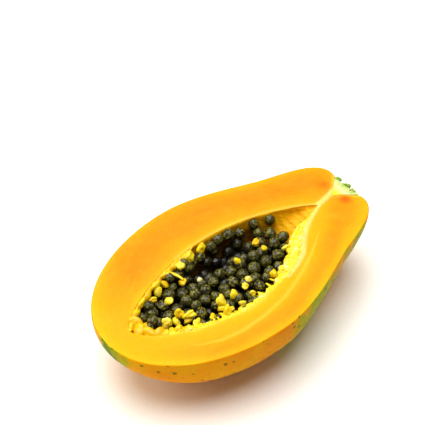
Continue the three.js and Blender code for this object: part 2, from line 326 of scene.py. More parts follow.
def skin_arc(rim):
    """y = w sgn(cos a)|cos a|^(2/p) and z = -d sin(a)^(2/p), with five faint lobes, flat where it rests."""
    x, width = rim[:, :1], rim[:, 1:2]
    share = DEPTH_SHARE[0] + (DEPTH_SHARE[1] - DEPTH_SHARE[0]) * np.clip(x / STALK_X, 0, 1)
    start = np.arcsin(np.clip((RIM_RADIUS / np.maximum(width * share, 0.01)) ** (SECTION_POWER / 2), 0, 0.3))
    angle = start + (math.pi - 2 * start) * np.linspace(0, 1, SKIN_STEPS)
    lobe = 1 + LOBES * np.sin(angle) * np.cos(5 * angle)
    y = np.sign(np.cos(angle)) * np.abs(np.cos(angle)) ** (2 / SECTION_POWER) * width * lobe
    z = -np.sin(angle) ** (2 / SECTION_POWER) * width * share * lobe
    return np.stack([x + 0 * y, y, np.maximum(z, -FACE_Z / MM)], -1)


def face_strip(rim, mouth):
    """Straight lines from the rim's quarter circle to the cavity's mouth."""
    inward = mouth - rim
    inward /= np.maximum(np.linalg.norm(inward, axis=1, keepdims=True), 1e-9)
    drop = np.minimum(RIM_RADIUS, np.abs(rim[:, 1]) * 0.3)[:, None, None]
    quarter = np.linspace(0, math.pi / 2, FILLET_STEPS + 1)[1:-1, None]
    edge = np.concatenate([rim[:, None] + inward[:, None] * drop * (1 - np.cos(quarter)),
                           np.broadcast_to(drop * (np.sin(quarter) - 1), (len(rim), len(quarter), 1))], 2)
    start = rim[:, None] + inward[:, None] * drop
    t = np.linspace(0, 1, FACE_STEPS)[:, None]
    flat = start + (mouth[:, None] - start) * t
    flat = np.concatenate([flat, np.zeros((*flat.shape[:2], 1))], 2)
    return np.concatenate([edge, flat], 1)


def cavity_arc(near, far):
    """Half superellipses across the mouth, y = m + h sgn(cos a)|cos a|^(2/q) and z = -D sin(a)^(2/q)."""
    angle = np.linspace(math.pi, 0, CAVITY_STEPS)[1:-1]
    middle, half = (near[:, 1:] + far[:, 1:]) / 2, (far[:, 1:] - near[:, 1:]) / 2
    y = middle + half * np.sign(np.cos(angle)) * np.abs(np.cos(angle)) ** (2 / CAVITY_POWER)
    z = -cavity_depth(near[:, :1]) * np.sin(angle) ** (2 / CAVITY_POWER)
    return np.stack([near[:, :1] + 0 * y, y, z], -1)


print("in its middle the cavity is", round(float(cavity_depth(BELLY[0])), 1), "mm deep")

# %% All the loops together
far_rim = even_steps(outline, STATIONS)
near_rim = far_rim * (1, -1)
t = np.linspace(0, 1, STATIONS)
spread = 0.75 * (1 - np.cos(math.pi * t)) / 2 + 0.25 * t  # stations lie closer near both ends
mouth_x = MOUTH_START[0] + (MOUTH_END[0] - MOUTH_START[0]) * spread
far_edge = np.stack([mouth_x, np.interp(mouth_x, far_mouth[:, 0], far_mouth[:, 1])], 1)
near_edge = np.stack([mouth_x, np.interp(mouth_x, near_mouth[:, 0], near_mouth[:, 1])], 1)
loops = np.concatenate(
    [skin_arc(far_rim), face_strip(near_rim, near_edge), cavity_arc(near_edge, far_edge),
     face_strip(far_rim, far_edge)[:, ::-1]], 1)
columns = loops.shape[1]
print("fruit grid", loops.shape)

# %% The mesh, welded at its two ends
SKIN, FLESH, CAVITY = 0, 1, 2
WELD = 2e-6  # metres
faces = ring_faces(STATIONS, columns)[:, ::-1].tolist()
fruit = mesh_piece("fruit", loops.reshape(-1, 3), faces)
strip = FILLET_STEPS - 1 + FACE_STEPS
column = np.tile(np.arange(columns), STATIONS - 1)
zone = np.full(columns, FLESH)
zone[: SKIN_STEPS - 1 + FILLET_STEPS] = SKIN
zone[SKIN_STEPS + strip - 1 : columns - strip] = CAVITY
zone[columns - FILLET_STEPS :] = SKIN
fruit.data.polygons.foreach_set("material_index", zone[column].astype(np.int32))
side = fruit.data.attributes.new("skin_share", "FLOAT", "POINT")
on_skin = np.zeros(columns)
on_skin[:SKIN_STEPS] = 1
side.data.foreach_set("value", np.tile(on_skin, STATIONS).astype(np.float32))
shape = bmesh.new()
shape.from_mesh(fruit.data)
bmesh.ops.remove_doubles(shape, verts=shape.verts, dist=WELD)
bmesh.ops.dissolve_degenerate(shape, dist=WELD / 20, edges=shape.edges)
open_edges = sum(not edge.is_manifold for edge in shape.edges)
shape.to_mesh(fruit.data)
shape.free()
print("fruit", len(fruit.data.polygons), "faces,", open_edges, "open edges")

# %% [markdown]
# ## What the cut shows, as measured fields
# The bands of the cut follow the fruit's growth: a yellow line under the skin, a deeper orange band, a
# pale line of vessels on the near side, and pale fibres that run from the cavity's end to the stalk. None
# of these sits on a grid of squares, so each point of the mesh gets its distances to the rim and to the
# mouth in millimetres, and a strength for each marking. The material only reads these fields.

# %% Fields on the fruit
def read_points(piece):
    """A mesh object's points in fruit millimetres."""
    points = np.empty(len(piece.data.vertices) * 3)
    piece.data.vertices.foreach_get("co", points)
    return (points.reshape(-1, 3) - np.array([TIP_X, 0.0, FACE_Z])) / MM


def read_normals(piece):
    """A mesh object's unit normals, one for each point."""
    normals = np.empty(len(piece.data.vertices) * 3)
    piece.data.vertices.foreach_get("normal", normals)
    return normals.reshape(-1, 3)


def write_points(piece, points):
    """Moves a mesh object's points to new places in fruit millimetres."""
    piece.data.vertices.foreach_set("co", to_frame(points).ravel())
    piece.data.update()


def write_field(piece, name, values):
    """Stores one number at each point under a name that a material can read."""
    field = piece.data.attributes.get(name) or piece.data.attributes.new(name, "FLOAT", "POINT")
    field.data.foreach_set("value", np.asarray(values, np.float32))


def distance_to_line(points, line, width=None):
    """Distance in the face's plane to the nearest of a line's points, over the line's own width there."""
    reach = np.full(len(points), 1e9)
    width = np.ones(len(line)) if width is None else width
    for place, scale in zip(line, width):
        np.minimum(reach, np.hypot(points[:, 0] - place[0], points[:, 1] - place[1]) / scale, out=reach)
    return reach


print("fruit points read back:", len(read_points(fruit)))

# %% How far each point is from the skin and from the cavity
points = read_points(fruit)
rim_line = np.concatenate([even_steps(outline, 420), even_steps(outline, 420) * (1, -1)])
mouth_line = np.concatenate([even_steps(far_mouth, 300), even_steps(near_mouth, 300)])
rim_mm = distance_to_line(points, rim_line)
mouth_mm = distance_to_line(points, mouth_line)
print("rim to mouth at most", round(float((rim_mm + mouth_mm).max()), 1), "mm")

# %% The markings
# The near side's pale line of vessels, a weaker one mirrored to the far side, and fibres to the stalk.
VESSEL = [(30, -25.5), (34, -28.8), (43, -32.8), (54, -34.9), (67, -35.1), (82, -32.9), (90.5, -30.3),
          (100.6, -26.3), (112, -20.5), (124, -13)]
TRUNK = [(132, 0.4), (137, 0.2), (141, 0.7), (147, 1.6), (153.4, 0.6)]
SCAR_EDGE = ([144.5, 147, 150, 153.4], [0.3, 1.9, 4.6, 8.0])  # x, and the scar's half-width there
# Red spots, where the flesh is ripest: place, reach and strength.
BLUSHES = (((147.6, -6.2), 3.0, 1.25), ((146.4, 8.0), 2.2, 0.85), ((17.0, 4.0), 1.8, 0.5),
           ((140.0, -8.5), 4.5, 0.45), ((133.5, -13.7), 4.2, 0.36), ((126.5, -18.2), 4.2, 0.3),
           ((119.8, -22.1), 4.5, 0.24))
vessel = even_steps(np.array(VESSEL, float), 200)
vessel_width = 1.0 - 0.75 * smoothstep(0.55, 1.0, np.abs(np.linspace(-1, 1, 200)))
far_vessel = vessel[60:150] * (1, -1) + (0, 1.5)
trunk = even_steps(np.array(TRUNK, float), 80)
trunk_width = np.interp(np.linspace(0, 1, 80), [0, 0.25, 0.6, 1], [0.9, 1.5, 1.5, 2.6])
near_lip = near_mouth[near_mouth[:, 0] > 92][::6] + (0.7, -0.9)
near_lip_width = np.interp(near_lip[:, 0], [92, 108, 120, 135], [0.6, 1.3, 1.3, 0.8])
far_lip = far_mouth[far_mouth[:, 0] > 60][::6] + (0, 0.4)

vein = np.exp(-distance_to_line(points, vessel, vessel_width) ** 2)
vein = np.maximum(vein, 0.08 * np.exp(-(distance_to_line(points, far_vessel) / 2) ** 2))
beside_scar = np.abs(points[:, 1]) - np.interp(points[:, 0], *SCAR_EDGE)
round_scar = np.exp(-((np.maximum(beside_scar, 0) / 1.5) ** 2)) * smoothstep(143, 147, points[:, 0])
vein = np.maximum(vein, 1.4 * round_scar)
past_trunk = np.maximum(distance_to_line(points, trunk, trunk_width) - 0.4, 0)
past_lip = np.maximum(distance_to_line(points, near_lip, near_lip_width) - 0.5, 0)
fibre = np.maximum(np.exp(-(past_trunk**2) * 2.5), np.exp(-(past_lip**2) * 3))
fibre = np.maximum(fibre, 0.35 * np.exp(-(distance_to_line(points, far_lip) / 0.9) ** 2))
blush = np.zeros(len(points))
for place, reach, strength in BLUSHES:
    blush = np.maximum(blush, strength * np.exp(-((distance_to_line(points, [place]) / reach) ** 2)))
# Each marking is stored at the strength with which the finish shows it.
write_field(fruit, "rim_mm", rim_mm)
write_field(fruit, "mouth_mm", mouth_mm)
write_field(fruit, "vein", 0.5 * vein)
write_field(fruit, "fibre", 0.95 * fibre)
write_field(fruit, "blush", 0.8 * blush)
print("fibres cover", round(100 * float((fibre > 0.5).mean()), 1), "% of the points")

# %% [markdown]
# The same fields shape the surface. A knife leaves waves a tenth of a millimetre high, vessels sink, and
# the cut wall of the cavity is ribbed where the seeds sat. These are real moves of the points along their
# normals, because a bump map would leave every edge smooth.

# %% Relief: knife waves, sunk vessels, a crumbly lip and the ribs of the cavity's wall
skin_share = np.empty(len(points))
fruit.data.attributes["skin_share"].data.foreach_get("value", skin_share)
x, y, z = points.T
on_face = (z > -0.02) & (skin_share < 0.5)
in_cavity = (z < -0.02) & (skin_share < 0.5) & (mouth_mm < 30) & (rim_mm > 1.0)
near_side = smoothstep(-4, -10, y)
waves = 0.08 * ripple(points[:, :2], 19, 3) + 0.012 * ripple(points[:, :2], 3.2, 4)
waves += 0.006 * ripple(points[:, :2], 1.1, 5)
lip = np.exp(-((mouth_mm / 1.1) ** 2))
crumbs = np.abs(ripple(points[:, :2], 1.9, 6)) + 0.5 * np.abs(ripple(points[:, :2], 0.9, 7))
lip_height = lip * (0.35 * near_side * crumbs - 0.12)
height = np.where(on_face, waves - 0.16 * vein + 0.16 * fibre * crumbs + lip_height, 0)
socket = smoothstep(-0.1, -0.7, np.abs(y) - np.interp(x, *SCAR_EDGE))
height -= 0.5 * socket * smoothstep(144.0, 145.5, x) * on_face
depth = np.clip(-z / CAVITY_DEPTH, 0, 1)
ribs = np.sin(x * 2 * math.pi / 3.1 + 0.8 * ripple(points, 12, 8)) * smoothstep(0.02, 0.2, depth)
wall = 0.16 * ribs + 0.30 * ripple(points, 6.5, 9) + 0.08 * ripple(points, 1.8, 10)
ragged = near_side * np.exp(-(((depth - 0.03) / 0.10) ** 2)) * ripple(points, 1.6, 11, waves=9)
height = np.where(in_cavity, wall * smoothstep(0, 0.08, depth) + 0.55 * ragged, height)
hide = 0.25 * ripple(points, 34, 12) + 0.05 * ripple(points, 7, 13) + 0.012 * ripple(points, 1.6, 14)
above_floor = smoothstep(0.3, 6.0, z + FACE_Z / MM)
height = np.where(skin_share > 0.5, hide * np.minimum(above_floor, smoothstep(0, 2.5, rim_mm)), height)
points = points + read_normals(fruit) * height[:, None]
points[:, 2] = np.maximum(points[:, 2], -FACE_Z / MM)
write_points(fruit, points)
print("relief from", round(float(height.min()), 2), "to", round(float(height.max()), 2), "mm")

# %% [markdown]
# ## The finishes of the fruit
# Ripe papaya flesh is wet, soft and a little translucent: light goes in, reddens and comes out again, so
# the shader scatters light under the surface. Its bands come from the fields above. The skin is waxy and
# thin, gold where it has ripened and green where it hasn't, with small dark specks. The cavity's wall is
# wet and ribbed.

# %% Flesh: its bands
# Wet soft flesh: the eye gets a low glow under the surface, fine streaks, and only faint highlights.
NEAR_BANDS = [(0, "#D3A301"), (0.12, "#D39702"), (0.28, "#D38400"), (0.42, "#D38800"), (0.62, "#D29700"),
              (0.85, "#D19E01"), (0.95, "#D1A90B"), (1, "#D1BC34")]
FAR_BANDS = [(0, "#D39503"), (0.14, "#D27F01"), (0.4, "#CE7201"), (0.62, "#CE7902"), (0.86, "#D18B03"),
             (0.95, "#D29C07"), (1, "#D2AB14")]
TIP_BANDS = [(0, "#CFAD0B"), (0.2, "#D3A300"), (0.8, "#D39C01"), (1, "#D39E03")]
flesh, tree, shader = new_material("ripe_papaya_flesh")
place = add(tree, "TexCoord")["Object"]
split = add(tree, "SeparateXYZ", {0: place})
rim = add(tree, "Attribute", attribute_name="rim_mm")["Fac"]
mouth = add(tree, "Attribute", attribute_name="mouth_mm")["Fac"]
cloud = add(tree, "TexNoise", {"Vector": place, "Scale": 45.0, "Detail": 3.0})["Fac"]

# The bands follow rim / (rim + mouth), 0 at the skin and 1 at the cavity, moved a little so that none is
# even.
whole = add(tree, "Math", {0: rim, 1: mouth}, operation="ADD")[0]
share = add(tree, "Math", {0: rim, 1: whole}, operation="DIVIDE")[0]
drift = add(tree, "MapRange", {"Value": cloud, "To Min": -0.15, "To Max": 0.15})[0]
share = add(tree, "Math", {0: share, 1: drift}, operation="ADD")[0]
bands = add(tree, "ValToRGB", {"Fac": share}, ramp=NEAR_BANDS)["Color"]
to_far = {"Value": split["Y"], "From Min": -12 * MM, "From Max": 16 * MM}
to_tip = {"Value": split["X"], "From Min": TIP_X + 38 * MM, "From Max": TIP_X + 4 * MM}
for reach, ramp in ((to_far, FAR_BANDS), (to_tip, TIP_BANDS)):
    there = add(tree, "MapRange", reach)[0]
    other = add(tree, "ValToRGB", {"Fac": share}, ramp=ramp)["Color"]
    bands = add(tree, "Mix", {0: there, 6: bands, 7: other}, data_type="RGBA")[2]
print("bands", len(tree.nodes), "nodes")

# %% Flesh: its vessels, pulp and fibres
# The vessels are drawn 3 mm long and 0.5 mm apart; real ones are finer but would not show.
x_slow = add(tree, "Math", {0: split["X"], 1: 0.22}, operation="MULTIPLY")[0]
rim_metres = add(tree, "Math", {0: rim, 1: MM}, operation="MULTIPLY")[0]
along = add(tree, "CombineXYZ", {0: x_slow, 1: rim_metres, 2: split["Z"]})[0]
streaks = add(tree, "TexNoise", {"Vector": along, "Scale": 900.0, "Detail": 4.0, "Roughness": 0.6})["Fac"]
pulp = add(tree, "TexNoise", {"Vector": place, "Scale": 650.0, "Detail": 2.0})["Fac"]
speckle = add(tree, "TexNoise", {"Vector": place, "Scale": 1500.0, "Detail": 2.0})["Fac"]
speckle = add(tree, "MapRange", {"Value": speckle, "From Min": 0.35, "From Max": 0.65})[0]
pale = add(tree, "Mix", {0: speckle, 6: "#CEB341", 7: "#D4C87E"}, data_type="RGBA")[2]
streak = add(tree, "MapRange", {"Value": streaks, "From Min": 0.3, "From Max": 0.7, "To Max": 0.22})[0]
grain = add(tree, "MapRange", {"Value": pulp, "To Max": 0.3})[0]
layers = [(streak, "#D4AD19"), (grain, "#D07700")]
for name, colour in (("vein", "#D3BA3A"), ("fibre", pale), ("blush", "#D05500")):
    layers.append((add(tree, "Attribute", attribute_name=name)["Fac"], colour))
for strength, colour in layers:
    bands = add(tree, "Mix", {0: strength, 6: bands, 7: colour}, data_type="RGBA")[2]
tree.links.new(bands, shader.inputs["Base Color"])
print("flesh has", len(layers), "layers over its bands")

# %% Flesh: how wet and how clear it is
wet = {"Value": cloud, "From Min": 0.3, "From Max": 0.7, "To Min": 0.34, "To Max": 0.5}
tree.links.new(add(tree, "MapRange", wet)[0], shader.inputs["Roughness"])
shader.inputs["IOR"].default_value = 1.38  # sugary water
shader.inputs["Specular IOR Level"].default_value = 0.12
shader.inputs["Subsurface Weight"].default_value = 0.2
shader.inputs["Subsurface Radius"].default_value = (1.0, 0.4, 0.05)
shader.inputs["Subsurface Scale"].default_value = 2 * MM
height = add(tree, "Math", {0: streaks, 1: 0.6, 2: pulp}, operation="MULTIPLY_ADD")[0]
bump = add(tree, "Bump", {"Height": height, "Strength": 0.35, "Distance": 0.25 * MM})
tree.links.new(bump[0], shader.inputs["Normal"])
print("flesh finish", len(tree.nodes), "nodes")

# %% [markdown]
# The skin could be one picture wrapped round the fruit, but a wrap has a seam and stretches at the ends.
# Here its clouds, freckles and specks are patterns in space that the skin cuts through, so they meet all
# round.

# %% Skin: ripe gold and clouds of green
# A thin waxy peel: the eye gets gold with a soft sheen, cloudy green where it is unripe, and dark corky
# specks.
LARGE_SPECKS = (4.4, 0.17, 0.8, "#4E4A08")  # mm apart, size as a share of that, strength and colour
SMALL_SPECKS = (2.6, 0.14, 0.5, "#7F7A0A")
PLAIN_CELLS = 0.36  # this share of the places for a speck stay bare
skin, tree, shader = new_material("waxy_papaya_skin")
place = add(tree, "TexCoord")["Object"]
cloud = add(tree, "TexNoise", {"Vector": place, "Scale": 28.0, "Detail": 5.0, "Roughness": 0.6})["Fac"]
mottle = add(tree, "TexNoise", {"Vector": place, "Scale": 190.0, "Detail": 4.0})["Fac"]
unripe = add(tree, "Attribute", attribute_name="unripe")["Fac"]
ripe = [(0.3, "#CC7400"), (0.5, "#D68900"), (0.68, "#D29C04")]
colour = add(tree, "ValToRGB", {"Fac": cloud}, ramp=ripe)["Color"]

# Green shows where unripe + 1.6 (cloud + mottle) is high, so its edge breaks up into clouds and freckles.
green = add(tree, "Mix", {0: mottle, 6: "#66860A", 7: "#A3A008"}, data_type="RGBA")[2]
both = add(tree, "Math", {0: cloud, 1: mottle}, operation="ADD")[0]
greenness = add(tree, "Math", {0: both, 1: 1.6, 2: unripe}, operation="MULTIPLY_ADD")[0]
greenness = {"Value": greenness, "From Min": 1.95, "From Max": 2.35, "To Max": 0.92}
greenness = add(tree, "MapRange", greenness)[0]
patch = add(tree, "Math", {0: unripe, 1: mottle}, operation="MULTIPLY")[0]
patch = add(tree, "MapRange", {"Value": patch, "From Min": 0.46, "From Max": 0.56, "To Max": 0.8})[0]
for strength, tint in ((greenness, green), (patch, "#436A0E")):
    colour = add(tree, "Mix", {0: strength, 6: colour, 7: tint}, data_type="RGBA")[2]
print("skin clouds", len(tree.nodes), "nodes")

# %% Skin: its specks
# A cell pattern with warped edges gives each speck a place; the larger a cell's random number, the larger
# it is.
wobble = add(tree, "TexNoise", {"Vector": place, "Scale": 500.0})["Color"]
warped = add(tree, "Mix", {0: 0.0022, 6: place, 7: wobble}, data_type="RGBA", blend_type="ADD")[2]
for spacing_mm, size, dark, tint in (LARGE_SPECKS, SMALL_SPECKS):
    cell = add(tree, "TexVoronoi", {"Vector": warped, "Scale": 1000.0 / spacing_mm})
    chosen = add(tree, "SeparateColor", {0: cell["Color"]})[0]
    reach = add(tree, "Math", {0: chosen, 1: size * 1.6}, operation="MULTIPLY")[0]
    spot = add(tree, "Math", {0: cell["Distance"], 1: reach}, operation="LESS_THAN")[0]
    shown = add(tree, "Math", {0: chosen, 1: PLAIN_CELLS}, operation="GREATER_THAN")[0]
    spot = add(tree, "Math", {0: spot, 1: shown}, operation="MULTIPLY")[0]
    spot = add(tree, "Math", {0: spot, 1: dark}, operation="MULTIPLY")[0]
    colour = add(tree, "Mix", {0: spot, 6: colour, 7: tint}, data_type="RGBA")[2]
tree.links.new(colour, shader.inputs["Base Color"])
print("specks every", LARGE_SPECKS[0], "and", SMALL_SPECKS[0], "mm")

# %% Skin: its wax and pores
wax = add(tree, "MapRange", {"Value": mottle, "To Min": 0.34, "To Max": 0.50})
tree.links.new(wax[0], shader.inputs["Roughness"])
shader.inputs["IOR"].default_value = 1.45  # wax
shader.inputs["Specular IOR Level"].default_value = 0.02
shader.inputs["Subsurface Weight"].default_value = 0.12
shader.inputs["Subsurface Radius"].default_value = (1.0, 0.5, 0.08)
shader.inputs["Subsurface Scale"].default_value = 3 * MM
pores = add(tree, "TexNoise", {"Vector": place, "Scale": 1100.0, "Detail": 2.0})["Fac"]
height = add(tree, "Math", {0: mottle, 1: 2.0, 2: pores}, operation="MULTIPLY_ADD")[0]
bump = add(tree, "Bump", {"Height": height, "Strength": 0.25, "Distance": 0.3 * MM})
tree.links.new(bump[0], shader.inputs["Normal"])
print("skin finish", len(tree.nodes), "nodes")

# %% Where the skin is still green
# Each patch is strength * exp(-((x - a)/p)^2 - ((v - b)/q)^2), where v is y or z; the tip's is round in
# the face.
points = read_points(fruit)
x, y, z = points.T
unripe = 1.3 * np.exp(-(np.hypot(x - 1.5, y - 0.5) / 8.5) ** 2)
for strength, along_x, length, across, middle, width in (
        (0.70, 99, 36, y, -40, 21), (0.40, 60, 60, z, -42, 18), (0.50, 150, 16, z, -14, 14),
        (0.72, 134, 20, y, -31, 13)):
    patch = strength * np.exp(-(((x - along_x) / length) ** 2) - (((across - middle) / width) ** 2))
    unripe = np.maximum(unripe, patch)
write_field(fruit, "unripe", unripe)
print("unripe at most", round(float(unripe.max()), 2))

# %% [markdown]
# The wall is the same flesh torn into wet strands, pale on the near ledge and darkened with painted shade
# deep under the seeds. A second material is simpler than one more mask in the flesh, because the mesh
# already knows its three zones.

# %% The cavity's wall
# Wet spongy tissue: the eye gets yellow strands running across the wall, and painted shade darkens it deep
# under the seeds.
STRANDS = [(0.28, "#D28B02"), (0.45, "#DB9B05"), (0.6, "#DFAA0D"), (0.75, "#E3B91C")]
wall, tree, shader = new_material("wet_placenta_wall")
place = add(tree, "TexCoord")["Object"]
stretched = add(tree, "Mapping", {"Vector": place, "Scale": (1.0, 0.35, 0.35)})[0]
strands = {"Vector": stretched, "Scale": 420.0, "Detail": 5.0, "Distortion": 0.4}
strands = add(tree, "TexNoise", strands)["Fac"]
blotch = add(tree, "TexNoise", {"Vector": place, "Scale": 90.0, "Detail": 3.0})["Fac"]
blotch = add(tree, "MapRange", {"Value": blotch, "To Max": 0.25})[0]
stain = add(tree, "Attribute", attribute_name="stain")["Fac"]
pale_wall = add(tree, "Attribute", attribute_name="pale_wall")["Fac"]
colour = add(tree, "ValToRGB", {"Fac": strands}, ramp=STRANDS)["Color"]
# The dark tint is painted shade deep in the cavity under the seeds; the blotches and the pale ledge are the
# wall's own colour.
for strength, tint in ((blotch, "#CB8B03"), (stain, "#3A1C05"), (pale_wall, "#D9C369")):
    colour = add(tree, "Mix", {0: strength, 6: colour, 7: tint}, data_type="RGBA")[2]
tree.links.new(colour, shader.inputs["Base Color"])
shader.inputs["Roughness"].default_value = 0.42
shader.inputs["IOR"].default_value = 1.38
shader.inputs["Specular IOR Level"].default_value = 0.15
shader.inputs["Subsurface Weight"].default_value = 0.12
shader.inputs["Subsurface Radius"].default_value = (1.0, 0.45, 0.08)
shader.inputs["Subsurface Scale"].default_value = 3 * MM
bump = add(tree, "Bump", {"Height": strands, "Strength": 0.6, "Distance": 0.5 * MM})
tree.links.new(bump[0], shader.inputs["Normal"])

near_ledge = smoothstep(-2, -9, y) * smoothstep(-11, -3, z) * (0.5 + 0.5 * smoothstep(84, 104, x))
# Painted shade: deep down under the seed pile, away from the neck and the tip, the wall darkens.
deep_shade_under_seeds = smoothstep(-3.5, -8, z) * smoothstep(118, 106, x) * smoothstep(19, 27, x)
write_field(fruit, "pale_wall", 0.85 * near_ledge)
write_field(fruit, "stain", 0.92 * deep_shade_under_seeds)
for finish in (skin, flesh, wall):
    fruit.data.materials.append(finish)
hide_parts("fruit_half")
print("wall finish", len(tree.nodes), "nodes, and the fruit has", len(fruit.data.materials), "finishes")

# %% [markdown]
# ## The seeds
# Each seed sits in a thin wet sac that shrinks into a net of wrinkles over the hard black coat, so it
# looks like a dark olive bead with broad soft highlights. A sphere with a bump map would keep a smooth
# outline. Here each seed is an egg whose radius follows a folded wave, so the wrinkles are in its shape,
# and no two are alike.

# %% A ball of rings
def ball(rows, columns):
    """Unit directions (sin a cos b, sin a sin b, cos a) in rings between two poles, and their faces."""
    a = np.linspace(0, math.pi, rows + 1)[1:-1, None]
    b = np.linspace(0, 2 * math.pi, columns, endpoint=False)
    rings = np.stack([np.sin(a) * np.cos(b), np.sin(a) * np.sin(b), np.cos(a) + 0 * b], -1).reshape(-1, 3)
    directions = np.concatenate([rings, [[0, 0, 1], [0, 0, -1]]])
    faces = ring_faces(rows - 1, columns)[:, ::-1].tolist()
    k = np.arange(columns)
    after = (k + 1) % columns
    last = (rows - 2) * columns
    faces += np.stack([k, after, np.full(columns, len(rings))], 1).tolist()
    faces += np.stack([last + after, last + k, np.full(columns, len(rings) + 1)], 1).tolist()
    return directions, faces


seed_directions, seed_faces = ball(20, 30)
print("a seed has", len(seed_faces), "faces")

# %% One seed's shape
def random_turn(random):
    """A 3 x 3 rotation from a random unit quaternion."""
    w, x, y, z = (q := random.normal(size=4)) / np.linalg.norm(q)
    return np.array([
        [1 - 2 * (y * y + z * z), 2 * (x * y - w * z), 2 * (x * z + w * y)],
        [2 * (x * y + w * z), 1 - 2 * (x * x + z * z), 2 * (y * z - w * x)],
        [2 * (x * z - w * y), 2 * (y * z + w * x), 1 - 2 * (x * x + y * y)]])


def seed_shape(centre, half, seed_number, directions):
    """Egg 1 - 0.08 d3 along its own axis, times 1 + 0.13(|wave| - 0.45), with half-sizes half."""
    random = np.random.default_rng(seed_number)
    own = directions @ random_turn(random).T
    fold = np.clip(np.abs(ripple(own, 0.7, seed_number, waves=9)), 0, 1)
    slow = 1 + 0.035 * ripple(own, 2.2, seed_number + 7)
    radius = (1 - 0.08 * own[:, 2]) * (1 + 0.13 * (fold - 0.45)) * slow
    return centre + directions * radius[:, None] * half, fold


sample = seed_shape(np.zeros(3), 3.0, 1, seed_directions)[0]
print("a 6 mm seed is", np.ptp(sample, axis=0).round(1), "mm")

# %% Many small shapes as one piece
def clump(name, parts):
    """One mesh object from many small closed shapes, each (points, faces, fields)."""
    counts = np.cumsum([0] + [len(points) for points, _, _ in parts])
    points = np.concatenate([points for points, _, _ in parts])
    faces = [[k + start for k in face] for (_, faces, _), start in zip(parts, counts) for face in faces]
    piece = mesh_piece(name, points, faces)
    for key in parts[0][2]:
        values = [np.broadcast_to(fields[key], len(points)) for points, _, fields in parts]
        write_field(piece, key, np.concatenate(values))
    return piece


def node_ball(node):
    """A node's middle and half-sizes in fruit millimetres, from its box."""
    low, high = (np.array(corner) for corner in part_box(node))
    middle = ((low + high) / 2 - np.array([TIP_X, 0.0, FACE_Z])) / MM
    return middle, (high - low) / 2 / MM


print("the first seed's middle is at", node_ball("seed_01")[0].round(1), "mm")

# %% [markdown]
# The sac's colour comes from how it lies: black where it is tight over the coat, olive where folds gather.
# Each seed also gets its own tone, since some have more sac left than others.

# %% The seed's finish
# A wet film over a hard black coat: the eye gets an olive bead, dark in its folds, with broad soft
# highlights.
SAC_COLOURS = [(0.0, "#040402"), (0.35, "#191806"), (0.62, "#48450C"), (1.0, "#857F24")]
seed_coat, tree, shader = new_material("wet_papaya_seed_sac")
place = add(tree, "TexCoord")["Object"]
fold, sac, top = (add(tree, "Attribute", attribute_name=name)["Fac"] for name in ("fold", "sac", "top"))
film = add(tree, "TexNoise", {"Vector": place, "Scale": 560.0, "Detail": 4.0})["Fac"]
net = add(tree, "TexVoronoi", {"Vector": place, "Scale": 900.0}, feature="DISTANCE_TO_EDGE")[0]
veins = {"Value": net, "From Min": 0.0, "From Max": 0.07, "To Min": 0.45, "To Max": 0.0}
veins = add(tree, "MapRange", veins)[0]
lie = add(tree, "Math", {0: film, 1: 2.4, 2: fold}, operation="MULTIPLY_ADD")[0]
lie = add(tree, "Math", {0: lie, 1: 1.2}, operation="SUBTRACT")[0]
coat = add(tree, "ValToRGB", {"Fac": lie}, ramp=SAC_COLOURS)["Color"]
for strength, tint in ((sac, "#41400D"), (veins, "#565738")):
    coat = add(tree, "Mix", {0: strength, 6: coat, 7: tint}, data_type="RGBA")[2]
# Painted shade: mixed towards near-black under each seed and, in the pile, lower down.
coat = add(tree, "Mix", {0: top, 6: "#0C0A03", 7: coat}, data_type="RGBA")[2]
tree.links.new(coat, shader.inputs["Base Color"])
gloss = {"Value": film, "From Min": 0.3, "From Max": 0.7, "To Min": 0.22, "To Max": 0.42}
tree.links.new(add(tree, "MapRange", gloss)[0], shader.inputs["Roughness"])
shader.inputs["IOR"].default_value = 1.45
shader.inputs["Specular IOR Level"].default_value = 0.25
shader.inputs["Coat Weight"].default_value = 0.7
shader.inputs["Coat Roughness"].default_value = 0.18
shader.inputs["Coat IOR"].default_value = 1.38  # the juice on it
height = add(tree, "Math", {0: veins, 1: -0.8, 2: film}, operation="MULTIPLY_ADD")[0]
bump = add(tree, "Bump", {"Height": height, "Strength": 1.0, "Distance": 0.5 * MM})
tree.links.new(bump[0], shader.inputs["Normal"])
print("seed finish", len(tree.nodes), "nodes")

# %% The seeds on top, one for each solid
SKIN_OVER_SOLID = 0.17  # mm, half the gap the solids keep where real seeds touch
MOST_SAC = 0.55
seed_nodes = sorted(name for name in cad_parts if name.startswith("seed_"))
ovule_nodes = sorted(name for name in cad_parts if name.startswith("pale_ovule_"))
placed = []
random = np.random.default_rng(11)


def lit_from_above(directions):
    """0 under a seed and 1 on its top: painted shade that darkens each seed's underside."""
    return smoothstep(-0.35, 0.65, directions[:, 2])


for number, node in enumerate(seed_nodes):
    middle, half = node_ball(node)
    half = half + SKIN_OVER_SOLID
    shape, fold = seed_shape(middle, half, 100 + number, seed_directions)
    fields = {"fold": fold, "sac": MOST_SAC * random.uniform(0, 1), "top": lit_from_above(seed_directions)}
    piece = clump("papaya_" + node, [(shape, seed_faces, fields)])
    piece.data.materials.append(seed_coat)
    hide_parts(node)
    placed.append((*middle, half.mean()))
for node in ovule_nodes:
    middle, half = node_ball(node)
    placed.append((*middle, half.mean()))
print(len(seed_nodes), "seeds of", len(seed_faces), "faces")

# %% [markdown]
# The seeds between and below them are one piece, because they are only seen in the gaps. They are thrown
# like darts: a random spot at the pile's top is kept if nothing is in its way, then the same is done a
# layer lower.

# %% Where a seed has room
HOLLOW_PLACE = (80.0, 10.0)  # the gap by the far wall: its middle, its spread and its depth
HOLLOW_SPREAD = (16.0, 4.6)
HOLLOW_DEPTH = 10.0


